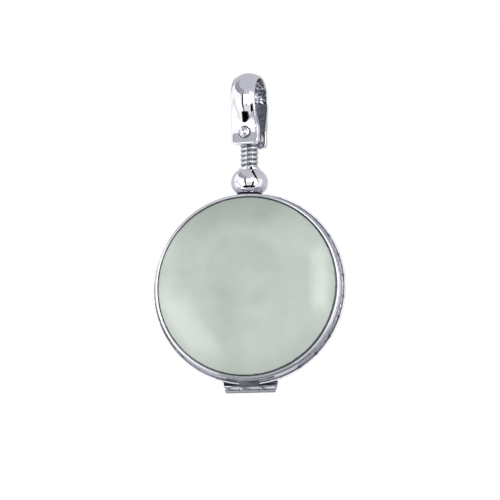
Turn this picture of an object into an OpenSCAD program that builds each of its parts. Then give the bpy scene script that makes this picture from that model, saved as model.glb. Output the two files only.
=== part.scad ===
// Round glass locket: two hinged silver frames with domed crystals, a threaded post with a
// ball nut on top of the case, and a teardrop bail riveted across the head of the post.
// +X is the wearer's left-to-right across the glass, -Y is the front, +Z is up.
// The origin is the inside top of the bail, where a chain or cord carries the locket.

/* [Case] */
// Outer diameter of the back frame, the wider of the two
case_d = 27.4; // [26.6:0.1:29.4]
// How far the back frame stands out round the front frame
rim_step = 0.3; // [0.2:0.05:0.4]
// How much the flank of a frame tapers from the parting plane towards its lip
taper = 0.2; // [0.1:0.02:0.2]
// Depth of one frame, from the parting plane to the crest of its lip
frame_t = 2.2; // [2.1:0.05:2.5]
// Width of the rounded lip that holds the crystal
lip_w = 0.35; // [0.3:0.05:0.4]
// Height of the domed crystal above its flat edge
glass_rise = 2.4; // [2:0.1:3]
// Thickness of the crystal
glass_t = 0.9; // [0.7:0.05:1.1]

/* [Hinge] */
// Width of the hinge over its three knuckles, measured under the barrel
hinge_w = 6.9; // [6:0.1:8]
// Outer diameter of a knuckle
knuckle_d = 1.3; // [1.2:0.05:1.4]
// Diameter of the hinge pin
hinge_pin_d = 0.56; // [0.5:0.02:0.6]

/* [Post and ball nut] */
// Outer diameter of the thread
thread_d = 2.6; // [2.4:0.05:2.6]
// Pitch of the thread
thread_pitch = 0.67; // [0.6:0.01:0.8]
// Widest diameter of the ball nut
nut_d = 5.28; // [4.8:0.02:5.4]
// Height of the ball nut without its collar
nut_h = 3.4; // [2.9:0.05:3.4]
// How far round the nut the slit faces, from the front towards +X
slit_turn = 10; // [0:1:60]

/* [Bail] */
// How far the bail and its rivet are turned about the post, seen from above
bail_turn = -8; // [-10:1:10]
// Radius of the inside of the bail's round top
bail_r = 3; // [2.9:0.05:3.1]
// Thickness of the bail along the middle of its band
bail_t = 0.9; // [0.8:0.05:1]
// Width of the band
bail_w = 3.55; // [3.2:0.05:3.7]
// Width of the two feet of the bail
foot_w = 4; // [3.85:0.05:4.1]
// Diameter of the rivet through the feet
rivet_d = 0.72; // [0.6:0.02:0.8]
// Diameter of the round heads of the rivet
rivet_head_d = 1.5; // [1.3:0.05:1.7]

/* [Hidden] */
$fn = 96;

silver = [0.80, 0.80, 0.84];
crystal = [0.75, 0.79, 0.76, 0.6];

// Clearances: between fixed pieces, round a pin that turns, and of the nut on the post
gap = 0.03;
pin_play = 0.03;
nut_play = 0.05;
over = 0.5; // how far a cutting shape runs past what it cuts

// Heights, measured down from the inside top of the bail
rivet_z = -8.13;
foot_bottom_z = rivet_z - 1.68;
case_top_z = rivet_z - 8.66;
back_r = case_d / 2;
front_r = back_r - rim_step;
case_z = case_top_z - front_r;
case_y = -0.3; // the parting plane lies a little in front of the post's axis

// Frame section, as radius from the case's axis and height above the parting plane
lip_inset = 0.3; // how far the lip stands in from the front frame's outer edge
lip_r = front_r - lip_inset - lip_w / 2;
lip_h = frame_t - lip_w / 2;
waist_h = frame_t - 0.55;
glass_r = lip_r - 0.08;
glass_edge_t = 0.7;
glass_edge_h = lip_h - 0.1 - glass_edge_t;
ledge_r = glass_r - 0.45;
dome_r = lip_r - lip_w / 2 - 0.05;
dome_top_h = glass_edge_h + glass_edge_t + glass_rise;
dome_sphere_r = (dome_r * dome_r + glass_rise * glass_rise) / (2 * glass_rise);

// Hinge: its axis lies under the back frame, behind the parting plane
hinge_y = case_y + 1;
hinge_z = case_z - front_r - 0.67;
knuckle_r = knuckle_d / 2;
knuckle_gap = 0.06;
mid_knuckle_x = 1.38;
side_knuckle_x = mid_knuckle_x + knuckle_gap;
side_flare = 0.4; // how much wider the outer knuckles are at the rim than under the barrel
web_top = 1; // height above the hinge axis at which the webs end, inside the rims
web_room = 0.8; // height of the notch in the back frame for the centre web

// Post
thread_r = thread_d / 2;
thread_depth = 0.24;
thread_top_z = rivet_z - 1.3;
thread_bottom_z = case_top_z + 0.07;
neck_r = thread_r - thread_depth - 0.02;
eye_r = 1.3;
eye_half = 1.28;

// Bail: below the round top each leg bends inwards on a wide arc, then runs straight to its foot
leg_lean = 28;
foot_y = eye_half + 0.07;
foot_t = 0.85;
foot_corner = 0.7;
foot_top_z = rivet_z + 1.7;
leg_end_z = rivet_z + 0.8;
band_edge_t = 0.5;
band_edge_r = 0.25;

// Section of the band: flat towards the loop, crowned outside, with round outer edges.
// slim takes that much off it all round.
module band_section(slim) {
    half = bail_w / 2 - slim;
    thick = bail_t - 2 * slim;
    edge_t = band_edge_t - 2 * slim;
    crown = thick - edge_t;
    flank = half - band_edge_r;
    crown_r = (flank * flank + crown * crown) / (2 * crown);
    translate([slim, 0]) {
        intersection() {
            translate([0, -flank]) square([thick, 2 * flank]);
            translate([thick - crown_r, 0]) circle(r = crown_r);
        }
        translate([0, -half]) square([edge_t - band_edge_r, 2 * half]);
        for (side = [-1, 1])
            translate([edge_t - band_edge_r, side * flank]) circle(r = band_edge_r);
    }
}

// The half-round top and the two legs, each a wide arc and a straight run down to the foot
module bail_band() {
    drop = -bail_r - leg_end_z;
    inward = bail_r - foot_y;
    leg_r = (drop * sin(leg_lean) - inward * cos(leg_lean)) / (1 - cos(leg_lean));
    leg_len = (drop - leg_r * sin(leg_lean)) / cos(leg_lean);
    lap = 0.1; // how far the arc starts inside the top, and the straight run inside the arc
    lap_a = 2;
    translate([0, 0, -bail_r]) rotate([0, 90, 0]) {
        rotate([0, 0, 90])
            rotate_extrude(angle = 180) translate([bail_r, 0]) band_section(0);
        for (side = [0, 1])
            mirror([0, side, 0]) translate([0, bail_r - leg_r, 0]) {
                rotate([0, 0, 90 - leg_lean]) rotate_extrude(angle = leg_lean + lap_a)
                    translate([leg_r, 0]) band_section(0.02);
                rotate([0, 0, 90 - leg_lean]) translate([leg_r, lap, 0])
                    rotate([90, 0, 0]) linear_extrude(leg_len + 0.3 + lap) band_section(0.04);
            }
    }
}

// Outline of a foot in X and Z: round corners below, tapering to the band above
module foot_outline() {
    half = foot_w / 2;
    neck = bail_w / 2 - 0.1;
    polygon([
        [-half, foot_bottom_z + foot_corner], [half, foot_bottom_z + foot_corner],
        [half, rivet_z], [neck, foot_top_z], [-neck, foot_top_z], [-half, rivet_z]
    ]);
    translate([foot_corner - half, foot_bottom_z])
        square([foot_w - 2 * foot_corner, 2 * foot_corner]);
    for (side = [-1, 1])
        translate([side * (half - foot_corner), foot_bottom_z + foot_corner])
            circle(r = foot_corner);
}

// The foot at the back: its outer face is crowned like the band
module foot() {
    half = foot_w / 2;
    crown = 0.3;
    crown_r = (half * half + crown * crown) / (2 * crown);
    intersection() {
        translate([0, foot_y + foot_t, 0]) rotate([90, 0, 0])
            linear_extrude(foot_t) foot_outline();
        translate([0, foot_y + foot_t - crown_r, foot_bottom_z - over])
            cylinder(r = crown_r, h = foot_top_z - foot_bottom_z + 2 * over);
    }
}

module bail() {
    color(silver) rotate([0, 0, bail_turn]) difference() {
        union() {
            bail_band();
            for (side = [0, 1]) mirror([0, side, 0]) foot();
        }
        // room between the feet for the eye of the post
        translate([-foot_w, -foot_y, foot_bottom_z - over])
            cube([2 * foot_w, 2 * foot_y, leg_end_z - foot_bottom_z + 2 * over]);
        translate([0, 0, rivet_z]) rotate([90, 0, 0])
            cylinder(r = rivet_d / 2 + gap / 2, h = 10, center = true);
        // flat seats for the heads of the rivet, where a leg stands out over them
        for (side = [0, 1])
            mirror([0, side, 0]) translate([0, foot_y + foot_t + gap / 3, rivet_z])
                rotate([-90, 0, 0]) cylinder(r = rivet_head_d / 2 + gap, h = 2);
    }
}

// The rivet: a shank across both feet, with a ball-like head on each
module bail_rivet() {
    head_r = rivet_head_d / 2;
    head_y = foot_y + foot_t + gap;
    head_out = 0.15; // how far the middle of a head stands off the foot
    color(silver) rotate([0, 0, bail_turn]) translate([0, 0, rivet_z]) {
        rotate([90, 0, 0])
            cylinder(r = rivet_d / 2, h = 2 * (head_y + head_out), center = true);
        for (side = [0, 1])
            mirror([0, side, 0]) intersection() {
                translate([0, head_y + head_out, 0]) sphere(r = head_r);
                translate([-head_r, head_y, -head_r]) cube(2 * head_r);
            }
    }
}

// Section of a frame: radius along x, height above the parting plane along y. Its flank runs
// from outer_r at the parting plane in to the waist, where a crevice parts it from the lip.
module frame_section(outer_r, waist_r) {
    lip_out = lip_r + lip_w / 2;
    difference() {
        union() {
            polygon([
                [ledge_r, gap],
                [outer_r - 0.06, gap],
                [outer_r, gap + 0.08],
                [waist_r, waist_h],
                [lip_out - 0.06, waist_h + 0.12],
                [lip_out, lip_h],
                [lip_r - lip_w / 2, lip_h],
                [ledge_r, glass_edge_h]
            ]);
            translate([lip_r, lip_h]) circle(d = lip_w);
        }
        // groove for the flat edge of the crystal
        translate([ledge_r - over, glass_edge_h - gap])
            square([glass_r + gap - ledge_r + over, glass_edge_t + 2 * gap]);
    }
}

// A crystal about its own axis: a flat edge in the groove and a hollow dome over it
module crystal_dome() {
    centre_h = dome_top_h - dome_sphere_r;
    difference() {
        union() {
            translate([0, 0, glass_edge_h]) cylinder(r = glass_r, h = glass_edge_t);
            intersection() {
                translate([0, 0, centre_h]) sphere(r = dome_sphere_r);
                translate([0, 0, glass_edge_h]) cylinder(r = dome_r, h = 2 * glass_rise);
            }
        }
        translate([0, 0, centre_h]) sphere(r = dome_sphere_r - glass_t);
    }
}

// Puts what stands on the parting plane, looking along +Z, on the front or the back of the case
module on_case(front) {
    translate([0, case_y, case_z]) rotate([front ? 90 : -90, 0, 0]) children();
}

// Extrudes an outline, drawn in Y and Z about the hinge axis, from x0 to x1
module along_hinge(x0, x1) {
    translate([x0, hinge_y, hinge_z]) rotate([90, 0, 90]) linear_extrude(x1 - x0) children();
}

module pin_bore() {
    along_hinge(-hinge_w, hinge_w) circle(r = hinge_pin_d / 2 + pin_play);
}

// The centre knuckle and the web that carries it, forwards and up under the front rim
module centre_knuckle() {
    along_hinge(-mid_knuckle_x, mid_knuckle_x) {
        circle(r = knuckle_r);
        polygon([
            [0, web_room - 0.1], [0, -0.3], [-0.58, -0.26], [-1.85, 0.65],
            [-1.85, web_top], [-1 - gap, web_top], [-1 - gap, web_room - 0.1]
        ]);
    }
}

// An outer knuckle on the +X side with its web, straight up into the back rim. Its outer end
// leans out towards the rim.
module outer_knuckle() {
    end_x = hinge_w / 2;
    intersection() {
        along_hinge(side_knuckle_x, end_x + side_flare) {
            circle(r = knuckle_r);
            translate([-0.1, 0]) square([knuckle_r + 0.1, web_top]);
        }
        translate([0, hinge_y + knuckle_d, hinge_z]) rotate([90, 0, 0])
            linear_extrude(2 * knuckle_d)
                polygon([
                    [0, -knuckle_d], [end_x, -knuckle_d], [end_x, -knuckle_r],
                    [end_x + side_flare, web_top], [0, web_top]
                ]);
    }
}

module front_frame() {
    color(silver) difference() {
        union() {
            on_case(true) rotate_extrude() frame_section(front_r, front_r - taper);
            centre_knuckle();
        }
        pin_bore();
    }
}

module front_glass() {
    color(crystal) on_case(true) crystal_dome();
}

module back_glass() {
    color(crystal) on_case(false) crystal_dome();
}

module hinge_pin() {
    color(silver) along_hinge(0.05 - hinge_w / 2, hinge_w / 2 - 0.05) circle(d = hinge_pin_d);
}

// Radius of the thread at angle a (degrees) and height z above its lower end: a rounded
// right-handed ridge, faded out at both ends
function thread_radius(a, z, length) =
    let (wave = 0.5 + 0.5 * cos(360 * z / thread_pitch - a),
         fade = min(1, z / (thread_pitch / 2), (length - z) / (thread_pitch / 2)))
    thread_r - thread_depth * (1 - wave * fade);

module threaded_rod(length) {
    sides = 20;
    layers = round(5 * length / thread_pitch);
    points = [for (i = [0 : layers], j = [0 : sides - 1])
        let (z = length * i / layers, a = 360 * j / sides, r = thread_radius(a, z, length))
        [r * cos(a), r * sin(a), z]];
    walls = [for (i = [0 : layers - 1], j = [0 : sides - 1])
        let (a = i * sides + j, b = i * sides + (j + 1) % sides)
        each [[a, a + sides, b], [b, a + sides, b + sides]]];
    bottom = [for (j = [0 : sides - 1]) j];
    top = [for (j = [sides - 1 : -1 : 0]) layers * sides + j];
    polyhedron(points, concat(walls, [bottom, top]));
}

module post() {
    translate([0, 0, thread_bottom_z]) threaded_rod(thread_top_z - thread_bottom_z);
    // neck and eye for the rivet
    translate([0, 0, thread_top_z - 0.2])
        cylinder(r = neck_r, h = rivet_z - thread_top_z + 0.2);
    translate([0, 0, rivet_z]) rotate([90, 0, bail_turn])
        cylinder(r = eye_r, h = 2 * eye_half, center = true);
    // foot, on the back frame only, in the wall of the rim outside the crystal's groove
    root = 0.25;
    intersection() {
        translate([0, 0, case_top_z - root])
            cylinder(r = neck_r, h = thread_bottom_z - case_top_z + root + 0.2);
        translate([-thread_r, case_y + gap, case_top_z - 1])
            cube([2 * thread_r, 2 * thread_r, 2]);
    }
}

module back_frame() {
    room_x = mid_knuckle_x + knuckle_gap;
    color(silver) difference() {
        union() {
            difference() {
                on_case(false) rotate_extrude() frame_section(back_r, front_r - taper / 2);
                // notch for the centre knuckle and its web
                along_hinge(-room_x, room_x)
                    translate([-2, -over]) square([2.75, web_room + over]);
                // flat seat under the ball nut
                translate([-back_r / 2, -back_r / 2, case_top_z]) cube(back_r);
            }
            for (side = [0, 1]) mirror([side, 0, 0]) outer_knuckle();
            post();
        }
        pin_bore();
        translate([0, 0, rivet_z]) rotate([90, 0, bail_turn])
            cylinder(r = rivet_d / 2 + pin_play, h = 10, center = true);
    }
}

// A flattened ball with a low collar and a bore for the post. A slit tapers down from its top.
module ball_nut() {
    bulge_r = 2.03;
    seat_gap = 0.1;
    collar_r = 1.52;
    collar_h = 0.35;
    slit_top = [0.15, nut_h / 2];
    slit_end = [1.25, -0.45];
    slit_w = 0.5;
    slit_end_w = 0.14;
    color(silver) translate([0, 0, case_top_z + seat_gap + nut_h / 2]) difference() {
        rotate_extrude() {
            intersection() {
                translate([nut_d / 2 - bulge_r, 0]) circle(r = bulge_r);
                translate([0, -nut_h / 2]) square([nut_d, nut_h]);
            }
            translate([0, nut_h / 2 - over]) square([collar_r, collar_h + over]);
        }
        cylinder(r = thread_r + nut_play, h = 2 * nut_h, center = true);
        rotate([90, 0, slit_turn]) linear_extrude(nut_d)
            polygon([
                slit_top + [-slit_w / 2, 0], slit_top + [-slit_w / 2, over],
                slit_top + [slit_w / 2, over], slit_top + [slit_w / 2, 0],
                slit_end + [slit_end_w / 2, 0], slit_end - [slit_end_w / 2, 0]
            ]);
    }
}

bail();
bail_rivet();
back_frame();
back_glass();
hinge_pin();
front_frame();
front_glass();
ball_nut();
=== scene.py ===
# Looks of the round glass locket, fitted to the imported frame. Shapes are worked out in
# millimetres; mm() and Shape.mesh() turn them into metres.
import math

import bmesh
import bpy
import numpy as np
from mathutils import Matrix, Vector


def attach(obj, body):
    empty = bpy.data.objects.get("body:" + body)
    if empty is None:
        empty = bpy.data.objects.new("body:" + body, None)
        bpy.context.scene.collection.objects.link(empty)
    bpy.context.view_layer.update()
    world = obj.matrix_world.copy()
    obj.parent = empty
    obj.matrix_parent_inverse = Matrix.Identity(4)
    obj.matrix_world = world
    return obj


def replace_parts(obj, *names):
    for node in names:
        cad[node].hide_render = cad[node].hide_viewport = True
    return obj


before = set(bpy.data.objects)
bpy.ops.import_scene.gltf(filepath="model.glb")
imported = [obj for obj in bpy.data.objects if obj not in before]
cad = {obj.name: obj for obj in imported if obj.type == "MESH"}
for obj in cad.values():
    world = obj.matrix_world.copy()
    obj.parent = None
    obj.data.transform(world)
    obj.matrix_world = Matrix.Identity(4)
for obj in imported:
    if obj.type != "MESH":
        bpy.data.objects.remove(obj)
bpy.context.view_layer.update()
TAU = 2 * math.pi
M_PER_MM = 0.001

# Dimensions repeated from the part's source, in millimetres.
# Case: the middle between the frames, their outer radii and waists, and the polished lip
CASE_Y, CASE_Z, FRONT_R, BACK_R = -0.3, -30.19, 13.4, 13.7
CASE_TOP = CASE_Z + FRONT_R
FRONT_WAIST_R, BACK_WAIST_R, WAIST = 13.2, 13.3, 1.65
LIP_R, LIP_H, LIP_W = 12.925, 2.025, 0.35
# Crystals: the ledge under them, their flat edge and their dome
LEDGE_R, GLASS_R, EDGE_H, EDGE_T = 12.395, 12.845, 1.225, 0.7
DOME_R, DOME_RISE, GLASS_T = 12.7, 2.4, 0.9
# Hinge
HINGE_Y, HINGE_Z, HINGE_W, KNUCKLE_R = 0.7, -44.26, 6.9, 0.65
# Bail, which is turned a few degrees about the post
RIVET_Z, FOOT_BOTTOM, BAIL_TURN = -8.13, -9.81, -8.0
BAIL_R, BAIL_T, BAIL_W, FOOT_W, FOOT_Y, FOOT_T = 3.0, 0.9, 3.55, 4.0, 1.35, 0.85
# Ball nut and the threaded post
NUT_Z, NUT_D, NUT_H, NUT_BULGE = CASE_TOP + 1.8, 5.28, 3.4, 2.03
THREAD_R, PITCH = 1.3, 0.67
THREAD_LOW, THREAD_HIGH = CASE_TOP + 0.07, RIVET_Z - 1.3

# The photograph: its size, its scale, where the case's middle lies in it, and from where it was
# taken, in degrees
PHOTO_PX, PX_PER_MM, CASE_PX_X, CASE_PX_Y = 500, 7.15, 246.5, 285.6
PHOTO_AZ, PHOTO_EL = 10, -9.5


def mm(*values):
    return tuple(v * M_PER_MM for v in values)


def unit(values):
    return np.clip(values, 0, 1)


def link(name, data):
    ob = bpy.data.objects.new(name, data)
    bpy.context.scene.collection.objects.link(ob)
    return ob


def direction(az, el):
    """Where azimuth az and elevation el point, in radians. Azimuth 0 is the locket's front."""
    return Vector((math.sin(az) * math.cos(el), -math.cos(az) * math.cos(el), math.sin(el)))


# Camera: the photograph's viewing angle, a little from the right and from below
def make_camera():
    cam = link("camera", bpy.data.cameras.new("camera"))
    target = Vector(mm(0, -2.5, CASE_Z))
    away = direction(math.radians(PHOTO_AZ), math.radians(PHOTO_EL))
    dist, sensor = 0.35, 36
    cam.location = target + away * dist
    cam.rotation_euler = (-away).to_track_quat("-Z", "Y").to_euler()
    cam.data.sensor_width = sensor
    cam.data.lens = PX_PER_MM * 1000 * dist / PHOTO_PX * sensor
    cam.data.shift_x = (PHOTO_PX / 2 - CASE_PX_X) / PHOTO_PX
    cam.data.shift_y = (CASE_PX_Y - PHOTO_PX / 2) / PHOTO_PX
    cam.data.clip_start = 0.01
    bpy.context.scene.camera = cam


make_camera()


# Shader nodes
def node(tree, kind, links=(), **settings):
    n = tree.nodes.new(kind)
    for key, value in settings.items():
        setattr(n, key, value)
    for socket, source in dict(links).items():
        if isinstance(source, (int, float, tuple)):
            n.inputs[socket].default_value = source
        else:
            tree.links.new(source, n.inputs[socket])
    return n


def noise(tree, where, scale, detail, **more):
    sockets = {"Vector": where, "Scale": scale, "Detail": detail, **more}
    return node(tree, "ShaderNodeTexNoise", sockets).outputs["Fac"]


def remap(tree, value, low, high, at_low, at_high, kind="LINEAR"):
    """at_low up to low, at_high from high on, and in between a ramp."""
    sockets = {"Value": value, "From Min": low, "From Max": high, "To Min": at_low, "To Max": at_high}
    return node(tree, "ShaderNodeMapRange", sockets, interpolation_type=kind).outputs[0]


def calc(tree, operation, *values, clamp=False):
    sockets = dict(enumerate(values))
    return node(tree, "ShaderNodeMath", sockets, operation=operation, use_clamp=clamp).outputs[0]


def mix_value(tree, amount, a, b):
    return node(tree, "ShaderNodeMix", {0: amount, 2: a, 3: b}, data_type="FLOAT").outputs[0]


def mix_colour(tree, amount, a, b):
    return node(tree, "ShaderNodeMix", {0: amount, 6: a, 7: b}, data_type="RGBA").outputs[2]


def new_material(name, **sockets):
    """A material, its tree and its shader, with the shader's plain values set by name."""
    m = bpy.data.materials.new(name)
    m.use_nodes = True
    bsdf = m.node_tree.nodes["Principled BSDF"]
    for socket, value in sockets.items():
        bsdf.inputs[socket.replace("_", " ")].default_value = value
    return m, m.node_tree, bsdf


# Materials
def silver(name, bright, dark, rough, dark_rough, haze, bump):
    """Polished silver. The mesh's own 'dark' value says how much tarnish and painted shade a place has."""
    m, t, bsdf = new_material(name, Metallic=1)
    where = node(t, "ShaderNodeTexCoord").outputs["Object"]
    tarnish_and_shade = node(t, "ShaderNodeAttribute", attribute_name="dark").outputs["Fac"]
    cloud = noise(t, where, 420.0, 5.0, Roughness=0.6)
    fine = noise(t, where, 5200.0, 3.0, Roughness=0.65)
    amount = calc(t, "MULTIPLY", tarnish_and_shade, remap(t, cloud, 0.3, 0.7, 0.75, 1.15), clamp=True)
    hazy = [c * (1 - haze) for c in bright]
    tint = mix_colour(t, cloud, (*hazy, 1), (*bright, 1))
    t.links.new(mix_colour(t, amount, tint, (*dark, 1)), bsdf.inputs["Base Color"])
    worn = remap(t, fine, 0.35, 0.7, rough * 0.6, rough * 1.5)
    t.links.new(mix_value(t, amount, worn, dark_rough), bsdf.inputs["Roughness"])
    scratches = {"Height": fine, "Strength": bump, "Distance": 0.00002}
    t.links.new(node(t, "ShaderNodeBump", scratches).outputs[0], bsdf.inputs["Normal"])
    return m


def crystal_material():
    """Polished glass with a milky grey-green cast and soft clouds in it, with a painted highlight at both
    sides, painted shade towards the top and the foot, a faint painted reflection in the middle and painted
    shade at the edge under the lip.
    """
    m, t, bsdf = new_material("milky_crystal", Roughness=0.13, IOR=1.5, Transmission_Weight=0.25,
                              Specular_IOR_Level=0.3, Coat_Weight=0.2, Coat_Roughness=0.10)
    where = node(t, "ShaderNodeTexCoord").outputs["Object"]
    flat = node(t, "ShaderNodeVectorMath", {0: where, 1: (1, 0, 1)}, operation="MULTIPLY").outputs[0]
    apart = node(t, "ShaderNodeSeparateXYZ", {0: where}).outputs

    def ease(value, low, high, at_low, at_high):
        return remap(t, value, low * M_PER_MM, high * M_PER_MM, at_low, at_high, "SMOOTHSTEP")

    def distance(x, z):
        sockets = {0: flat, 1: mm(x, 0, z)}
        return node(t, "ShaderNodeVectorMath", sockets, operation="DISTANCE").outputs["Value"]

    coarse = noise(t, where, 95.0, 3.0, Roughness=0.5, Distortion=0.6)
    clouds = mix_value(t, 0.3, coarse, noise(t, where, 420.0, 4.0, Roughness=0.55))
    shade = remap(t, clouds, 0.35, 0.65, 0.22, 0.66)
    # a painted highlight on both sides, and painted shade towards the foot
    sides = ease(calc(t, "ABSOLUTE", apart["X"]), 8.8, 11.8, 0.0, -0.32)
    foot = ease(apart["Z"], CASE_Z - 12.3, CASE_Z - 7, 0.15, 0.0)
    # painted shade in a patch towards the top, and a faint round painted reflection in the middle
    off_patch = calc(t, "ABSOLUTE", calc(t, "ADD", apart["X"], 1.6 * M_PER_MM))
    patch = ease(off_patch, 5.0, 10.0, 0.62, 0.25)
    top = ease(apart["Z"], CASE_Z + 5.5, CASE_Z + 12.5, 0.0, 1.0)
    disc = ease(distance(-0.3, CASE_Z + 1.9), 4.4, 6.0, 0.20, 0.0)
    painted_dark = calc(t, "MULTIPLY_ADD", top, patch, disc)
    painted_light = calc(t, "ADD", calc(t, "ADD", sides, foot), painted_dark)
    pale, deep = (0.80, 0.878, 0.785, 1), (0.52, 0.594, 0.518, 1)
    milk_and_painted_light = mix_colour(t, calc(t, "ADD", shade, painted_light, clamp=True), pale, deep)
    # painted shade on the edge under the lip, with a slightly ragged border
    ragged = noise(t, where, 1300.0, 2.0)
    off_axis = calc(t, "MULTIPLY_ADD", ragged, 0.14 * M_PER_MM, distance(-0.08, CASE_Z + 0.04))
    edge = remap(t, off_axis, 12.59 * M_PER_MM, 12.67 * M_PER_MM, 0.0, 0.95)
    t.links.new(mix_colour(t, edge, milk_and_painted_light, (0.03, 0.035, 0.045, 1)), bsdf.inputs["Base Color"])
    return m


POLISHED = silver("polished_silver", (0.90, 0.90, 0.93), (0.025, 0.036, 0.066),
                  rough=0.05, dark_rough=0.35, haze=0.05, bump=0.06)
ENGRAVED = silver("engraved_silver", (0.86, 0.86, 0.90), (0.020, 0.029, 0.055),
                  rough=0.09, dark_rough=0.40, haze=0.12, bump=0.14)
# a dark copy of the silver, for painted shade
SHADED = silver("shaded_silver", (0.092, 0.10, 0.127), (0.02, 0.02, 0.025),
                rough=0.35, dark_rough=0.5, haze=0.1, bump=0.1)
CRYSTAL = crystal_material()


# Mesh building
class Shape:
    """Collects faces of one piece, with a value of tarnish and painted shade for each point."""

    def __init__(self):
        self.points, self.faces, self.dark, self.n = [], [], [], 0

    def add(self, points, faces, dark=0.0):
        points = np.asarray(points, float).reshape(-1, 3)
        self.points.append(points)
        self.faces += [tuple(i + self.n for i in f) for f in faces]
        self.dark.append(np.broadcast_to(np.asarray(dark, float).reshape(-1), (len(points),)))
        self.n += len(points)

    def loft(self, rings, dark=0.0, wrap=False):
        """rings is stations x points x 3, and each ring is closed. The last ring is joined to the
        first with wrap, and without it both ends are capped."""
        rings = np.asarray(rings, float)
        s, k = rings.shape[:2]
        faces = []
        for i in range(s if wrap else s - 1):
            a, b = i * k, (i + 1) % s * k
            faces += [(a + j, a + (j + 1) % k, b + (j + 1) % k, b + j) for j in range(k)]
        if not wrap:
            faces += [tuple(range(k - 1, -1, -1)), tuple((s - 1) * k + j for j in range(k))]
        self.add(rings, faces, dark)

    def mesh(self, name):
        me = bpy.data.meshes.new(name)
        me.from_pydata((np.concatenate(self.points) * M_PER_MM).tolist(), [], self.faces)
        me.update()
        return me

    def object(self, name, material, body, slot, sharp=40):
        me = self.mesh(name)
        tones = np.concatenate(self.dark).astype(np.float32)
        me.attributes.new("dark", "FLOAT", "POINT").data.foreach_set("value", tones)
        ob = link(name, me)
        outwards(me)
        smooth(me, sharp)
        me.materials.append(material)
        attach(ob, body)
        return ob


def outwards(me):
    b = bmesh.new()
    b.from_mesh(me)
    bmesh.ops.recalc_face_normals(b, faces=b.faces)
    b.to_mesh(me)
    b.free()


def smooth(me, angle):
    me.polygons.foreach_set("use_smooth", [True] * len(me.polygons))
    me.set_sharp_from_angle(angle=math.radians(angle))


def arc(cx, cy, r, a0, a1, n):
    a = np.radians(np.linspace(a0, a1, n))
    return [(cx + r * math.cos(x), cy + r * math.sin(x)) for x in a]


def circle(sides):
    return TAU * np.arange(sides) / sides


def level_ring(a, r, z):
    """A ring at height z round the post's axis, for the angles a."""
    return np.stack([r * np.cos(a), r * np.sin(a), z + 0 * a], 1)


def upright_ring(a, r, y, z):
    """A ring at depth y round a line along Y at height z, for the angles a."""
    return np.stack([r * np.cos(a), y + 0 * a, z + r * np.sin(a)], 1)


def turned(points, degrees):
    c, s = math.cos(math.radians(degrees)), math.sin(math.radians(degrees))
    p = np.array(points, float)
    x, y = p[..., 0].copy(), p[..., 1].copy()
    p[..., 0], p[..., 1] = c * x - s * y, s * x + c * y
    return p


# Engraving: a running scroll with leaves and short bright cuts, on a tile that repeats round a rim
TILES = 14
TILE_STEPS = 88
TILE_LEN = TAU * FRONT_R / TILES
# Leaves of a scroll: start, end, bow, half width and depth. Places are millimetres along the tile
# and shares of the tile's height above its middle.
LEAVES = [
    ((0.35, 0.10), (1.0, 0.40), 0.22, 0.07, 0.06),
    ((0.35, 0.10), (0.55, 0.44), -0.25, 0.05, 0.05),
    ((1.9, 0.20), (2.5, 0.42), 0.25, 0.06, 0.06),
    ((1.25, 0.27), (1.75, 0.43), 0.2, 0.05, 0.05),
    ((2.35, -0.10), (2.85, -0.36), -0.25, 0.06, 0.055),
    ((2.2, -0.16), (2.3, -0.42), 0.2, 0.05, 0.05),
]
# two rows of short cuts between the leaves
for i in range(4):
    x = 0.45 + 0.17 * i
    LEAVES.append(((x, -0.42), (x + 0.14, -0.10 - 0.05 * i), 0.1, 0.04, 0.05))
for i in range(3):
    x = 2.55 + 0.17 * i
    LEAVES.append(((x, 0.12), (x + 0.16, 0.42), 0.1, 0.04, 0.05))


def spiral(cx, cy, r0, r1, a0, turns, n=40):
    a = np.radians(a0) + np.linspace(0, turns * TAU, n)
    r = np.linspace(r0, r1, n)
    return np.stack([cx + r * np.cos(a), cy + r * np.sin(a)], 1)


def bow(p, q, lift, n=10):
    """A stroke from p to q that bows sideways by lift."""
    p, q = np.array(p, float), np.array(q, float)
    s = np.linspace(0, 1, n)[:, None]
    side = np.array([p[1] - q[1], q[0] - p[0]])
    return p + (q - p) * s + side * lift * 4 * s * (1 - s)


def strokes(height):
    """Strokes of one tile as (points, half width, depth, tapered)."""
    mid = height / 2
    # the wavy stem, and slanting cuts along both edges
    u = np.linspace(-0.1, TILE_LEN + 0.1, 120)
    stem = np.stack([u, mid + 0.22 * height * np.sin(TAU * u / TILE_LEN)], 1)
    out = [(stem, 0.06, 0.055, False)]
    for i in range(6):
        u = (i + 0.1) * TILE_LEN / 6
        low = bow((u, 0.13 * height), (u + 0.78, 0.36 * height), 0.12)
        high = bow((u + 0.5, 0.87 * height), (u + 1.28, 0.64 * height), -0.12)
        out += [(low, 0.085, 0.055, True), (high, 0.085, 0.055, True)]
    # one scroll with its leaves, and the same upside down in the tile's other half
    one = [(spiral(1.72, mid - 0.16 * height, 0.30 * height, 0.06, 215, -1.35), 0.055, 0.06)]
    for (x0, up0), (x1, up1), lift, width, depth in LEAVES:
        one.append((bow((x0, mid + up0 * height), (x1, mid + up1 * height), lift), width, depth))
    for points, width, depth in one:
        over = np.stack([points[:, 0] + TILE_LEN / 2, height - points[:, 1]], 1)
        out += [(points, width, depth, True), (over, width, depth, True)]
    return out


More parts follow.
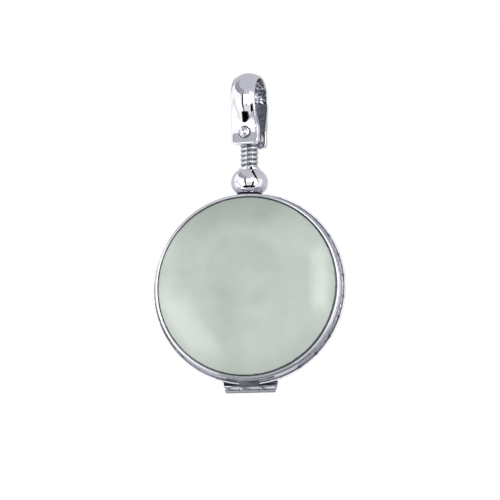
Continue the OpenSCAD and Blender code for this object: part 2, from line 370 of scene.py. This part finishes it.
def engraving(height, rows):
    """Depth of the cuts on one tile, TILE_STEPS x rows."""
    gu, gv = np.meshgrid(np.arange(TILE_STEPS) * TILE_LEN / TILE_STEPS, rows, indexing="ij")
    depth = np.zeros_like(gu)
    far = 9.0
    for points, width, deep, taper in strokes(height):
        # nearest distance to the stroke, and how far along it that is, from 0 to 1
        best = np.full_like(gu, far)
        along = np.ones_like(gu)
        seg = np.linalg.norm(np.diff(points, axis=0), axis=1)
        part = np.concatenate([[0], np.cumsum(seg)]) / max(seg.sum(), 1e-6)
        for i in range(len(points) - 1):
            a, ab = points[i], points[i + 1] - points[i]
            for shift in (-TILE_LEN, 0, TILE_LEN):
                pu, pv = gu - a[0] - shift, gv - a[1]
                s = unit((pu * ab[0] + pv * ab[1]) / max(ab @ ab, 1e-9))
                d = np.hypot(pu - s * ab[0], pv - s * ab[1])
                nearer = d < best
                best = np.where(nearer, d, best)
                along = np.where(nearer, part[i] + s * (part[i + 1] - part[i]), along)
        # the base of the power is held at 0 or more, so that it stays a number
        k = 0.35 + 0.65 * unit(np.sin(math.pi * along)) ** 0.6 if taper else 1.0
        depth = np.maximum(depth, deep * k * np.exp(-(best / (width * (0.5 + 0.5 * k))) ** 2))
    return depth


# Rims. A rim's section is a list of (radius, height above the case's middle). It runs outwards on
# the mating face, up the flank, through a groove, over the lip and down its inside.
FACE_H, FLANK_LOW, FLANK_ROWS, PLAY = 0.03, 0.11, 30, 0.03
FLANK_H = WAIST - FLANK_LOW
# stretches without engraving, in degrees: beside the hinge, and at the post
PLAIN_FRONT, PLAIN_BACK, PLAIN_FADE = [(252, 302)], [(252, 289), (80, 100)], 1.2
BORDER_IN, BORDER_DEPTH, BORDER_W = 0.07, 0.035, 0.035
THUMB_W, THUMB_DEPTH, THUMB_EDGE_DEPTH, THUMB_H = 0.2, 0.055, 0.05, 0.4
JOINT_DEG, JOINT_W, JOINT_DEPTH = 87.2, 0.07, 0.05
# tarnish and painted shade, from 0 to 1: of single points, of the cuts, and of whole stretches
FACE_DARK, LEDGE_DARK, GROOVE_DARK = (0.12, 0.12, 0.2), (1, 1, 0.05), (0.3, 0.8, 0.9, 0.5)
BLACK_CUT, THUMB_DARK, EDGE_DARK, UPPER_DARK, JOINT_DARK = 0.045, 0.8, 0.6, 0.6, 0.85
PLAIN_DARK, SEAM_DARK, INSIDE_DARK = 0.28, 1, 0.35
# the band of painted shade along the flank's upper border, and the shade under the ball nut
UPPER_H, UPPER_SOFT = 0.13, 0.1
NUT_DARK, NUT_DARK_HALF, NUT_DARK_H = 0.9, 1.75, 1.0


def rim_section(front):
    """The section, and which of its points are the flank, the groove and the lip."""
    outer, waist = (FRONT_R, FRONT_WAIST_R) if front else (BACK_R, BACK_WAIST_R)
    face = [LEDGE_R + 0.06, 13.05, FRONT_R - 0.12]
    if not front:
        # the ledge that shows round the front frame, past a seam in painted shade
        face += [FRONT_R - 0.05, FRONT_R + 0.10, FRONT_R + 0.14]
    face = [(r, FACE_H) for r in face + [outer - 0.05]] + [(outer - 0.015, 2 * FACE_H)]
    rows = np.linspace(FLANK_LOW, WAIST, FLANK_ROWS)
    flank_r = outer + (waist - outer) * (rows - FLANK_LOW) / FLANK_H
    lip_out, lip_in = LIP_R + LIP_W / 2, LIP_R - LIP_W / 2
    groove = [(waist - 0.02, WAIST + 0.03), (lip_out - 0.06, WAIST + 0.08),
              (lip_out - 0.075, WAIST + 0.13), (lip_out - 0.03, WAIST + 0.2)]
    bead = arc(LIP_R, LIP_H, LIP_W / 2, 0, 180, 15)
    inside = [(lip_in, LIP_H - 0.06), (lip_in + 0.01, LIP_H - 0.07),
              (GLASS_R + PLAY, LIP_H - 0.07), (GLASS_R + PLAY, EDGE_H - PLAY),
              (LEDGE_R + 0.02, EDGE_H - PLAY), (LEDGE_R, EDGE_H - 0.05),
              (LEDGE_R, 0.6), (LEDGE_R, 0.09)]
    flank_at = slice(len(face), len(face) + FLANK_ROWS)
    groove_at = slice(flank_at.stop, flank_at.stop + len(groove))
    lip_at = slice(groove_at.stop, groove_at.stop + len(bead))
    section = np.array(face + list(zip(flank_r, rows)) + groove + bead + inside)
    return section, flank_at, groove_at, lip_at


def rim(shape, front):
    """One frame's ring, with its flank engraved and its lip polished."""
    section, flank, groove, lip = rim_section(front)
    outer = FRONT_R if front else BACK_R
    edge = slice(flank.start - 2, flank.start)
    steps = TILES * TILE_STEPS
    theta = TAU * (np.arange(steps) + 0.5) / steps
    deg = np.degrees(theta)
    v = np.linspace(FLANK_LOW, WAIST, FLANK_ROWS) - FLANK_LOW
    r = np.tile(section[:, 0], (steps, 1))
    h = np.tile(section[:, 1], (steps, 1))
    dark = np.zeros_like(r)

    cut_here = np.ones(steps)
    for a0, a1 in PLAIN_FRONT if front else PLAIN_BACK:
        cut_here *= 1 - unit((deg - a0) / PLAIN_FADE) * unit((a1 - deg) / PLAIN_FADE)
    cuts = np.tile(engraving(FLANK_H, v), (TILES, 1)) * cut_here[:, None]
    # fine border lines along both edges of the flank
    for at in (BORDER_IN, FLANK_H - BORDER_IN):
        cuts = np.maximum(cuts, BORDER_DEPTH * np.exp(-((v - at) / BORDER_W) ** 2)[None, :])
    # thumb cuts across the outer edge, two to a tile
    along = (theta * FRONT_R) % (TILE_LEN / 2) - TILE_LEN / 4
    thumb = np.exp(-(along / THUMB_W) ** 2) * cut_here
    notch = thumb[:, None] * unit(1 - v / THUMB_H)[None, :] ** 0.7
    r[:, flank] -= np.maximum(cuts, THUMB_DEPTH * notch)
    r[:, edge] -= THUMB_EDGE_DEPTH * thumb[:, None]

    # tarnish in the cuts, and painted shade along the flank's upper border and in the seams
    upper = UPPER_DARK * unit((v - FLANK_H + UPPER_H) / UPPER_SOFT)[None, :]
    dark[:, flank] = np.maximum(np.maximum(unit(cuts / BLACK_CUT), THUMB_DARK * notch), upper)
    dark[:, edge] = EDGE_DARK * thumb[:, None]
    # on the back frame, the seam round the front frame gets painted shade
    dark[:, :edge.start] = FACE_DARK if front else FACE_DARK + LEDGE_DARK
    # tarnish and painted shade in the groove between flank and lip
    dark[:, groove] = GROOVE_DARK
    # painted shade where the lip meets the crystal, and inside the lip
    dark[:, lip.stop - 2:] = SEAM_DARK
    dark[:, lip.stop + 5:] = INSIDE_DARK
    if front:
        # the joint in the lip at the top
        joint = np.exp(-((theta - math.radians(JOINT_DEG)) * FRONT_R / JOINT_W) ** 2)[:, None]
        to_axis = np.array([LIP_R, LIP_H]) - section[lip]
        to_axis /= np.linalg.norm(to_axis, axis=1)[:, None]
        r[:, lip] += JOINT_DEPTH * joint * to_axis[None, :, 0]
        h[:, lip] += JOINT_DEPTH * joint * to_axis[None, :, 1]
        dark[:, lip] = np.maximum(dark[:, lip], JOINT_DARK * joint)
    # the plain stretches are a little duller, and darker with painted shade
    painted_dark = slice(edge.start, lip.stop - 4)
    dark[:, painted_dark] = np.maximum(dark[:, painted_dark], PLAIN_DARK * (1 - cut_here)[:, None])
    # the shade under the ball nut
    under = unit((NUT_DARK_HALF - np.abs(theta - math.pi / 2) * outer) / 0.25)[:, None]
    under = under * unit((NUT_DARK_H - v) / 0.3)[None, :]
    dark[:, flank] = np.maximum(dark[:, flank], NUT_DARK * under)

    side = -1 if front else 1
    up = r * np.sin(theta)[:, None]
    if not front:
        # flat seat under the ball nut
        up = np.minimum(up, FRONT_R)
    points = np.stack([r * np.cos(theta)[:, None], CASE_Y + side * h, CASE_Z + up], 2)
    shape.loft(points, dark.reshape(-1), wrap=True)


# Hinge. The knuckles' outlines are (Y, Z) about the hinge's axis.
CENTRE_HALF, OUTER_START = 1.38, 1.44
STRAP_DARK, HINGE_DARK, BELOW_DARK = 0.52, 0.31, 0.45


def knuckle(shape, outline, x0, x1, dark, slant=0.0, round_end=0.05):
    """A bar along X from x0 to x1. slant widens its outer end towards the rim."""
    outline = np.array(outline, float)
    inward = outline.mean(0) - outline
    inward /= np.linalg.norm(inward, axis=1)[:, None]
    lean = slant * unit((outline[:, 1] + KNUCKLE_R) / (1 + KNUCKLE_R))
    rings, tones = [], []
    span, bevel = x1 - x0, 0.012
    ends = ((0, round_end), (0, bevel), (round_end / span, 0), (0.5, 0),
            (1 - round_end / span, 0), (1, bevel), (1, round_end))
    for f, inset in ends:
        p = outline + inward * inset
        x = x0 + f * (span + lean)
        rings.append(np.stack([x + 0 * p[:, 0], HINGE_Y + p[:, 0], HINGE_Z + p[:, 1]], 1))
        # the rounded ends, in the gaps between knuckles, get painted shade
        tones.append(unit(dark(p) + (0.5 if inset > bevel else 0.0)))
    shape.loft(rings, np.array(tones))


def knuckle_dark(p):
    """Knuckles are a little dull, and darker below with painted shade."""
    return HINGE_DARK + BELOW_DARK * unit((-0.5 - p[:, 1]) * 9)


def centre_knuckle(shape):
    outline = arc(0, 0, KNUCKLE_R, 90, -196, 44)
    # the strap up to the front rim
    outline += [(-0.72, 0.24), (-0.85, 0.31), (-1.05, 0.40), (-1.3, 0.50), (-1.6, 0.62)]
    outline += [(-1.85, 0.72), (-1.85, 0.85), (-1.85, 1.0), (-1.4, 1.0), (-1.03, 1.0)]
    outline += [(-1.03, 0.85), (-1.03, 0.7), (-0.7, 0.7), (-0.35, 0.7), (-0.1, 0.69)]

    def dark(p):
        return STRAP_DARK * unit((-0.6 - p[:, 0]) * 4) + knuckle_dark(p)

    knuckle(shape, outline, -CENTRE_HALF, CENTRE_HALF, dark)


def outer_knuckles(shape):
    outline = [(KNUCKLE_R, 1.0), (KNUCKLE_R, 0.7), (KNUCKLE_R, 0.35)]
    outline += arc(0, 0, KNUCKLE_R, 0, -262, 40) + [(-0.1, 0.72), (-0.1, 0.85), (-0.1, 1.0)]

    def dark(p):
        # the gap to the rim is dark with painted shade
        return unit((p[:, 1] - 0.30) * 7) + knuckle_dark(p)

    for side in (1, -1):
        part = Shape()
        knuckle(part, outline, OUTER_START, HINGE_W / 2, dark, slant=0.4)
        points = np.concatenate(part.points) * (side, 1, 1)
        faces = part.faces if side > 0 else [f[::-1] for f in part.faces]
        shape.add(points, faces, np.concatenate(part.dark))


# Post: the thread, its neck, its root in the back rim and the eye that the rivet passes through
THREAD_DEPTH, CREST_SHAPE, VALLEY_DARK, VALLEY_SHAPE = 0.25, 0.62, 0.95, 1.3
NECK_R, NECK_DARK, ROOT_DARK = THREAD_R - 0.27, 0.3, 0.4
EYE_R, EYE_HALF, EYE_BORE_R, EYE_DARK = 1.3, 1.28, 0.31, 0.15


def post(shape):
    per_turn, a = 18, circle(56)
    length = THREAD_HIGH - THREAD_LOW
    layers = int(length / PITCH * per_turn)
    rings, tones = [], []
    for i in range(layers + 1):
        z = length * i / layers
        wave = 0.5 + 0.5 * np.cos(TAU * z / PITCH - a)
        fade = min(1, z / (PITCH / 2), (length - z) / (PITCH / 2))
        ridge = unit(wave) ** CREST_SHAPE * fade
        rings.append(level_ring(a, THREAD_R - THREAD_DEPTH * (1 - ridge), THREAD_LOW + z))
        # painted shade in the thread's valleys
        tones.append(unit(VALLEY_DARK * (1 - ridge) ** VALLEY_SHAPE))
    shape.loft(rings, np.array(tones))
    neck = ((THREAD_HIGH - 0.2, NECK_R), (THREAD_HIGH + 0.1, NECK_R),
            (THREAD_HIGH + 0.5, NECK_R + 0.02), (RIVET_Z - 0.3, NECK_R + 0.08))
    shape.loft([level_ring(a, r, z) for z, r in neck], NECK_DARK)
    root = np.array([level_ring(a, 0.98 * NECK_R, z) for z in (CASE_TOP - 0.2, CASE_TOP + 0.1)])
    # kept behind the mating face
    root[..., 1] = np.maximum(root[..., 1], CASE_Y + FACE_H)
    shape.loft(root, ROOT_DARK)
    # the eye is a barrel along the rivet with rounded ends
    end = [(EYE_HALF, EYE_BORE_R), (EYE_HALF, EYE_R - 0.12), (EYE_HALF - 0.03, EYE_R - 0.05)]
    end.append((EYE_HALF - 0.11, EYE_R))
    eye = [(-y, r) for y, r in end] + [(0, EYE_R)] + end[::-1]
    a = circle(64)
    shape.loft(turned([upright_ring(a, r, y, RIVET_Z) for y, r in eye], BAIL_TURN), EYE_DARK)


# Bail: a crowned band swept round the loop and down into two feet
LEG_LEAN = math.radians(28)
LEG_END = RIVET_Z + 0.8
LEG_DROP, LEG_IN = -BAIL_R - LEG_END, BAIL_R - FOOT_Y
LEG_R = (LEG_DROP * math.sin(LEG_LEAN) - LEG_IN * math.cos(LEG_LEAN)) / (1 - math.cos(LEG_LEAN))
PAD_LOW, PAD_TOP, PAD_SLOPE = RIVET_Z - 0.45, RIVET_Z + 0.86, math.tan(math.radians(5))
# how steeply the pad's bend meets the leg
PAD_END_SLOPE = 0.465
# rounding of a foot's end, seen from the front and from the side
CORNER_R, SOFT_R = 0.72, 0.22
# where the band starts to widen and how long that takes, and the spacing of its sections
WIDEN_Z, WIDEN_H, STEP, END_H = -4.2, 4.0, 0.06, 0.75
FACET_DARK, FACET_FADE_H, FACET_FADE_W = 0.55, 0.4, 0.5
# points of the band's outline: its inner side first, then a corner, the outer side and a corner
INNER_N, CORNER_N = 17, 5
OUTER_AT = slice(INNER_N + CORNER_N - 1, 1 - CORNER_N)


def leg(z):
    """Distance of a leg's inner side from the post's axis at height z, and its lean there."""
    down = -BAIL_R - z
    if down < LEG_R * math.sin(LEG_LEAN):
        lean = math.asin(max(down, 0) / LEG_R)
        return BAIL_R - LEG_R * (1 - math.cos(lean)), lean
    if z > LEG_END:
        return FOOT_Y + (z - LEG_END) * math.tan(LEG_LEAN), LEG_LEAN
    return FOOT_Y, 0.0


def flat_pad(z):
    return FOOT_Y + FOOT_T + PAD_SLOPE * (RIVET_Z - z)


def pad(z):
    """Distance of the foot's face from the post's axis. It leans back a little, turns up in a soft
    bend to follow the leg, and parts from the leg's crown in a V."""
    if z < PAD_LOW:
        return flat_pad(z)
    inner, lean = leg(max(z, PAD_TOP))
    if z < PAD_TOP:
        h = PAD_TOP - PAD_LOW
        f = (z - PAD_LOW) / h
        y0, y1 = flat_pad(PAD_LOW), inner + BAIL_T / math.cos(lean)
        return (y0 * (2 * f ** 3 - 3 * f ** 2 + 1) - PAD_SLOPE * h * (f ** 3 - 2 * f ** 2 + f)
                + y1 * (3 * f ** 2 - 2 * f ** 3) + PAD_END_SLOPE * h * (f ** 3 - f ** 2))
    u = (z - PAD_TOP) / 1.9
    return inner + (BAIL_T - 0.10 * u - 0.31 * u ** 2) / math.cos(lean)


def band_outline(b, t, flat):
    """Closed outline of the band, b to each side and t thick: x across, n outwards. The inner side
    is flat, and the outer is crowned or as far out as flat, whichever is more."""
    edge, ri, ro = min(0.46, t - 0.05), min(0.13, 0.3 * t), min(0.26, 0.45 * t)
    side = b - ro

    def outer(x):
        return max(t - (t - edge) * (x / side) ** 2, min(flat, t + 0.3))

    crease = side * math.sqrt(min(max((t - flat) / (t - edge), 0), 1))
    crease = min(max(crease, 0.03 * side), 0.97 * side)
    right = [(x, outer(x)) for x in np.linspace(side, crease, 8)[:-1]]
    right += [(x, outer(x)) for x in np.linspace(crease, 0, 10)]
    pts = [(x, 0.0) for x in np.linspace(-b + ri, b - ri, INNER_N)]
    pts += arc(b - ri, ri, ri, -90, 0, CORNER_N)[1:]
    pts += arc(side, outer(side) - ro, ro, 0, 80, 8)
    pts += right + [(-x, y) for x, y in right[-2::-1]]
    pts += arc(-side, outer(side) - ro, ro, 100, 180, 8)
    pts += arc(-b + ri, ri, ri, 180, 270, CORNER_N)[:-1]
    return np.array(pts)


def dimple(x, run):
    """Small dents left from casting on the inside of the loop."""
    wave = math.sin(9.1 * x + 1.3 * math.sin(5.3 * run)) * math.sin(7.7 * run + 1.7 * math.sin(6.1 * x))
    return 0.055 * wave + 0.02 * math.sin(17 * x + 11 * run) * math.sin(13 * run - 15 * x)


def blotch(x, run):
    """How dull a place on the inside of the loop is. On the legs run is the height, below 0."""
    wave = math.sin(4.3 * x + 1.9 * math.sin(2.3 * run)) * math.sin(6.9 * run + 1.6 * math.sin(3.7 * x))
    return min(max(0.68 + 0.9 * wave if run > 0 else 0.6 + 0.12 * wave, 0.1), 1)


def rounded(radius, to_end):
    """How far a rounded end draws in, this far from its tip."""
    if to_end >= radius:
        return 0.0
    return radius - math.sqrt(max(radius ** 2 - (radius - to_end) ** 2, 0))


def bail(shape):
    stations = [("top", f) for f in np.linspace(0, math.pi / 2, 60)]
    stations += [("leg", z) for z in np.arange(-BAIL_R - STEP, FOOT_BOTTOM + END_H, -STEP)]
    stations += [("leg", FOOT_BOTTOM + END_H * (1 - math.sin(f))) for f in np.linspace(0, math.pi / 2, 16)]
    halves, tones = [], []
    for kind, at in stations:
        z = -BAIL_R if kind == "top" else at
        # the band widens and thins towards the foot
        f = unit((WIDEN_Z - z) / WIDEN_H)
        f = f * f * (3 - 2 * f)
        b = (BAIL_W + (FOOT_W - BAIL_W) * f) / 2 - rounded(CORNER_R, z - FOOT_BOTTOM)
        t = BAIL_T + (FOOT_T - BAIL_T) * f
        shrink = rounded(SOFT_R, z - FOOT_BOTTOM)
        if kind == "top":
            # the round top, with its dents on the inner side
            o = band_outline(b, t, 0)
            run = BAIL_R * at
            r = BAIL_R + o[:, 1]
            r[:INNER_N] -= [max(dimple(x, run), -0.04) for x in o[:INNER_N, 0]]
            ring = np.stack([o[:, 0], -r * math.sin(at), -BAIL_R + r * math.cos(at)], 1)
        else:
            inner, lean = leg(z)
            flat = (pad(z) - inner) * math.cos(lean)
            o = band_outline(b, t - 2 * shrink, flat - 2 * shrink)
            y = inner + (o[:, 1] + shrink) / math.cos(lean)
            ring = np.stack([o[:, 0], -y, z + 0 * y], 1)
        # the inner side is left as cast: darker and less polished
        tone = np.zeros(len(o))
        tone[:INNER_N] = [blotch(x, run if kind == "top" else z) for x in o[:INNER_N, 0]]
        if kind == "leg" and z > PAD_TOP:
            # painted shade on the facets beside the crown, more towards the right
            x, n = o[OUTER_AT].T
            amount = FACET_DARK * min((z - PAD_TOP) / FACET_FADE_H, 1)
            facet = amount * (flat + 0.004 > n) * unit(x / FACET_FADE_W)
            tone[OUTER_AT] = np.maximum(tone[OUTER_AT], facet)
        halves.append(ring)
        tones.append(tone)
    halves, tones = np.array(halves), np.array(tones)
    rings = np.concatenate([halves[::-1], halves[1:] * (1, -1, 1)])
    shape.loft(turned(rings, BAIL_TURN), np.concatenate([tones[::-1], tones[1:]]))


# Rivet: its heads, and a dark ring of painted shade that lies on the foot's face all round each
HEAD_R, HEAD_LIFT, SHADE_RING_R, SHADE_RING_LIFT, SHADE_RING_BELOW = 0.74, 0.10, 0.90, 0.02, -0.25


def rivet(shape):
    a = circle(64)
    base = FOOT_Y + FOOT_T + HEAD_LIFT
    shade_ring = ((SHADE_RING_BELOW, 0.36), (SHADE_RING_BELOW, SHADE_RING_R), (0.015, SHADE_RING_R),
            (SHADE_RING_LIFT, HEAD_R + 0.02), (SHADE_RING_LIFT, HEAD_R - 0.04))
    one, tones = [], []
    # the ring round each head is all painted shade
    for lift, r in shade_ring:
        y = np.array([pad(z) + lift for z in RIVET_Z + r * np.sin(a)])
        one.append(upright_ring(a, r, y, RIVET_Z))
        tones.append(1)
    for f in np.radians(np.linspace(-2, 88, 18)):
        one.append(upright_ring(a, HEAD_R * math.cos(f), base + HEAD_R * math.sin(f), RIVET_Z))
        tones.append(0)
    one = np.array(one)
    rings = np.concatenate([one[::-1] * (1, -1, 1), one])
    shape.loft(turned(rings, BAIL_TURN), np.repeat(tones[::-1] + tones, len(a)))


# Ball nut: turned, bored and slit. The slit faces SLIT_TURN degrees from the front, and its
# outline is (across, height above the nut's middle).
NUT_CORE, NUT_HALF, BORE_R, SLIT_TURN = NUT_D / 2 - NUT_BULGE, NUT_H / 2, 1.36, 10


def cut_slit(ob):
    """Cuts the nut's slit with a wedge that narrows downwards, and gives ob the cut mesh."""
    outline = [(-0.02, 2.1), (0.36, 2.1), (0.44, 1.6), (0.79, 0.85), (1.12, 0.10),
               (1.32, -0.45), (1.20, -0.45), (0.88, 0.10), (0.42, 0.85), (0.02, 1.5)]
    face = np.array([(x, 0.0, NUT_Z + z) for x, z in outline])
    wedge = Shape()
    wedge.loft(turned([face + (0, -1.0, 0), face + (0, -3.2, 0)], SLIT_TURN))
    cutter = link("slit", wedge.mesh("slit"))
    outwards(cutter.data)
    cut = ob.modifiers.new("slit", "BOOLEAN")
    cut.operation, cut.solver, cut.object = "DIFFERENCE", "EXACT", cutter
    bpy.context.view_layer.update()
    done = bpy.data.meshes.new_from_object(ob.evaluated_get(bpy.context.evaluated_depsgraph_get()))
    ob.modifiers.clear()
    ob.data = done
    bpy.data.objects.remove(cutter)
    done.attributes["dark"].data.foreach_set("value", np.zeros(len(done.vertices), np.float32))


def ball_nut():
    half, ball = NUT_HALF, NUT_BULGE
    top = math.degrees(math.asin(half / ball))
    profile = [(BORE_R, 0.06 - half), (1.42, -half)]
    profile += [(NUT_CORE + ball * math.cos(f), ball * math.sin(f))
                for f in np.radians(np.linspace(-top, top - 4, 44))]
    # the collar, with its rolled edge
    profile += [(1.60, half - 0.04), (1.53, half), (1.50, half + 0.06), (1.52, half + 0.14)]
    profile += arc(1.44, half + 0.24, 0.08, -20, 100, 6)
    profile += [(1.38, half + 0.3), (BORE_R, half + 0.1), (BORE_R, 0)]
    a = circle(96)
    shape = Shape()
    shape.loft([level_ring(a, r, NUT_Z + z) for r, z in profile], wrap=True)
    ob = shape.object("ball_nut_turned", POLISHED, "nut", "polished_silver", sharp=35)
    cut_slit(ob)
    # the walls of the slit, the bore and the flat underside get painted shade from the shaded silver
    ob.data.materials.append(SHADED)
    for f in ob.data.polygons:
        x, y, z = f.center * 1000
        z -= NUT_Z
        rad = math.hypot(x, y)
        surface = NUT_CORE + math.sqrt(max(ball ** 2 - z * z, 0))
        slit = rad < surface - 0.06 and abs(f.normal.z) < 0.95 and z < half - 0.1
        if rad < BORE_R + 0.01 or slit or z < 0.03 - half:
            f.material_index = 1
    smooth(ob.data, 35)
    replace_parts(ob, "ball_nut")


# Crystals: a flat edge and a hollow dome. The small hole at a dome's pole is capped.
def crystal(name, side, body, replaced):
    pole = 0.05
    big = (DOME_R ** 2 + DOME_RISE ** 2) / (2 * DOME_RISE)
    centre = EDGE_H + EDGE_T + DOME_RISE - big
    small = big - GLASS_T
    foot = math.sqrt(small ** 2 - (EDGE_H - centre) ** 2)
    profile = [(r, centre + math.sqrt(big ** 2 - r ** 2)) for r in np.linspace(pole, DOME_R, 60)]
    profile += [(GLASS_R - 0.03, EDGE_H + EDGE_T), (GLASS_R, EDGE_H + EDGE_T - 0.03)]
    profile += [(GLASS_R, EDGE_H + 0.03), (GLASS_R - 0.03, EDGE_H)]
    profile += [(r, centre + math.sqrt(small ** 2 - r ** 2)) for r in np.linspace(foot, pole, 40)]
    a = circle(256)
    shape = Shape()
    shape.loft([upright_ring(a, r, CASE_Y + side * h, CASE_Z) for r, h in profile])
    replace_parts(shape.object(name, CRYSTAL, body, "crystal", sharp=30), replaced)


front = Shape()
rim(front, True)
centre_knuckle(front)
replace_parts(front.object("front_frame_engraved", ENGRAVED, "cover", "engraved_silver"), "front_frame")

back = Shape()
rim(back, False)
outer_knuckles(back)
post(back)
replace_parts(back.object("back_frame_engraved", ENGRAVED, "case", "engraved_silver"), "back_frame")

loop = Shape()
bail(loop)
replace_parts(loop.object("bail_band", POLISHED, "hanger", "polished_silver", sharp=60), "bail")

heads = Shape()
rivet(heads)
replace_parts(heads.object("bail_rivet_heads", POLISHED, "hanger", "polished_silver", sharp=50), "bail_rivet")

ball_nut()

crystal("front_crystal", -1, "cover", "front_glass")
crystal("back_crystal", 1, "case", "back_glass")
cad["hinge_pin"].data.materials.clear()
cad["hinge_pin"].data.materials.append(POLISHED)


# Studio: a pale room with soft cards that only show as reflections, a white backdrop and a floor
HEART = Vector(mm(0, 0, -18))
WHITE, GREY, BLACK = (0.98, 0.98, 1.0), (0.90, 0.91, 1.0), (0, 0, 0)


def stage_mesh(name, points, faces, material):
    me = bpy.data.meshes.new(name)
    me.from_pydata(points, [], faces)
    me.materials.append(material)
    ob = link(name, me)
    return ob


def glow(name, colour, strength, soft=False):
    """A shining surface. With soft it fades out as the mesh's own 'fade' value says."""
    m, t, bsdf = new_material(name, Base_Color=(0, 0, 0, 1), Specular_IOR_Level=0,
                              Emission_Color=(*colour, 1), Emission_Strength=strength)
    if soft:
        fade = node(t, "ShaderNodeAttribute", attribute_name="fade").outputs["Fac"]
        t.links.new(calc(t, "MULTIPLY", fade, float(strength)), bsdf.inputs["Emission Strength"])
        clear = node(t, "ShaderNodeBsdfTransparent")
        mixed = node(t, "ShaderNodeMixShader", {0: fade, 1: clear.outputs[0], 2: bsdf.outputs[0]})
        t.links.new(mixed.outputs[0], t.nodes["Material Output"].inputs[0])
    return m


def card(name, az, el, dist, colour, strength, rise=0.0, skew=0.0, soft=0.0):
    """A curved card round the locket, from az[0] to az[1] and el[0] to el[1] in degrees. rise is
    how much higher its upper edge is at az[0], skew moves its upper edge in azimuth, and soft is
    how much of it fades out at its edges."""
    nu, nv = 24, 20
    points, fade = [], []
    for j in range(nv + 1):
        for i in range(nu + 1):
            f, g = j / nv, i / nu
            a = math.radians(az[0] + (az[1] - az[0]) * g + skew * (f - 0.5))
            e = math.radians(el[0] + (el[1] + rise * (1 - g) - el[0]) * f)
            points.append(HEART + dist * direction(a, e))
            edge = min(g, 1 - g, f, 1 - f) / max(soft, 1e-6)
            fade.append(0.5 - 0.5 * math.cos(math.pi * min(edge, 1)))
    corners = [j * (nu + 1) + i for j in range(nv) for i in range(nu)]
    faces = [(c, c + 1, c + nu + 2, c + nu + 1) for c in corners]
    ob = stage_mesh(name, points, faces, glow(name, colour, strength, soft > 0))
    ob.data.attributes.new("fade", "FLOAT", "POINT").data.foreach_set("value", fade)
    ob.visible_camera = False


# large cards that make the silver's light and dark fields
card("card_left", (-104, -22.5), (-60, 14), 0.34, WHITE, 1.1, rise=34)
card("card_left_top", (-100, -8), (10, 32), 0.345, GREY, 0.37, rise=34)
card("card_window_top", (-13, 26), (-12, 16), 0.34, WHITE, 1.3)
card("card_window_low", (-13, 26), (-38, -12), 0.34, WHITE, 0.85)
card("card_right", (38, 96), (-60, 16), 0.34, WHITE, 1.05)
card("card_foot", (-32, -21), (14, 30), 0.335, GREY, 0.55, soft=0.2)
card("flag_left", (-22.5, -13), (-60, 16), 0.34, BLACK, 0)
card("flag_right", (26, 38), (-60, 16), 0.34, BLACK, 0)
card("flag_low", (-44, 56), (-54, -38), 0.335, BLACK, 0)
card("lens", (3.5, 8), (-14.5, -10), 0.33, BLACK, 0)
# soft strips that make the crystals' highlights
card("strip_right", (22.0, 33.5), (-12, 31), 0.33, WHITE, 5.3, soft=0.24)
card("strip_left", (-54, -25), (-38, 16), 0.33, WHITE, 5.0, skew=-30, soft=0.35)
card("strip_far_left", (-100, -54), (-48, 14), 0.325, WHITE, 1.2, skew=-20, soft=0.4)
card("strip_far_right", (37, 68), (-30, 26), 0.325, WHITE, 2.6, soft=0.25)
card("ceiling", (-180, 180), (38, 89), 0.36, GREY, 0.62)
card("card_back", (166, 214), (-46, 30), 0.35, WHITE, 0.95)

# a fill from behind lights the back crystal and makes no highlight
fill = link("back_fill", bpy.data.lights.new("back_fill", "AREA"))
fill.data.size, fill.data.energy = 0.42, 0.9
fill.location = HEART + Vector((0.07, 0.40, 0.04))
fill.rotation_euler = (fill.location - HEART).to_track_quat("Z", "Y").to_euler()
fill.visible_glossy = fill.visible_camera = False

FLOOR_HALF, FLOOR_Z = 2, -0.45
corners = [(x * FLOOR_HALF, y * FLOOR_HALF, FLOOR_Z) for x, y in ((-1, -1), (1, -1), (1, 1), (-1, 1))]
pale = new_material("pale_floor", Base_Color=(0.82, 0.82, 0.85, 1), Roughness=0.6)[0]
stage_mesh("floor", corners, [(0, 1, 2, 3)], pale)

# the white backdrop is seen by the camera and through the crystals, and lights nothing
me = bpy.data.meshes.new("backdrop")
b = bmesh.new()
bmesh.ops.create_uvsphere(b, u_segments=48, v_segments=24, radius=1.9)
b.to_mesh(me)
b.free()
me.materials.append(glow("backdrop_white", (1, 1, 1), 1.0))
backdrop = link("backdrop", me)
backdrop.visible_glossy = backdrop.visible_diffuse = backdrop.visible_shadow = False

world = bpy.data.worlds.new("studio")
bpy.context.scene.world = world
world.use_nodes = True
sky = world.node_tree.nodes["Background"].inputs
sky["Color"].default_value = (0.92, 0.93, 1.0, 1)
sky["Strength"].default_value = 0.66
bpy.context.scene.view_settings.view_transform = "Standard"
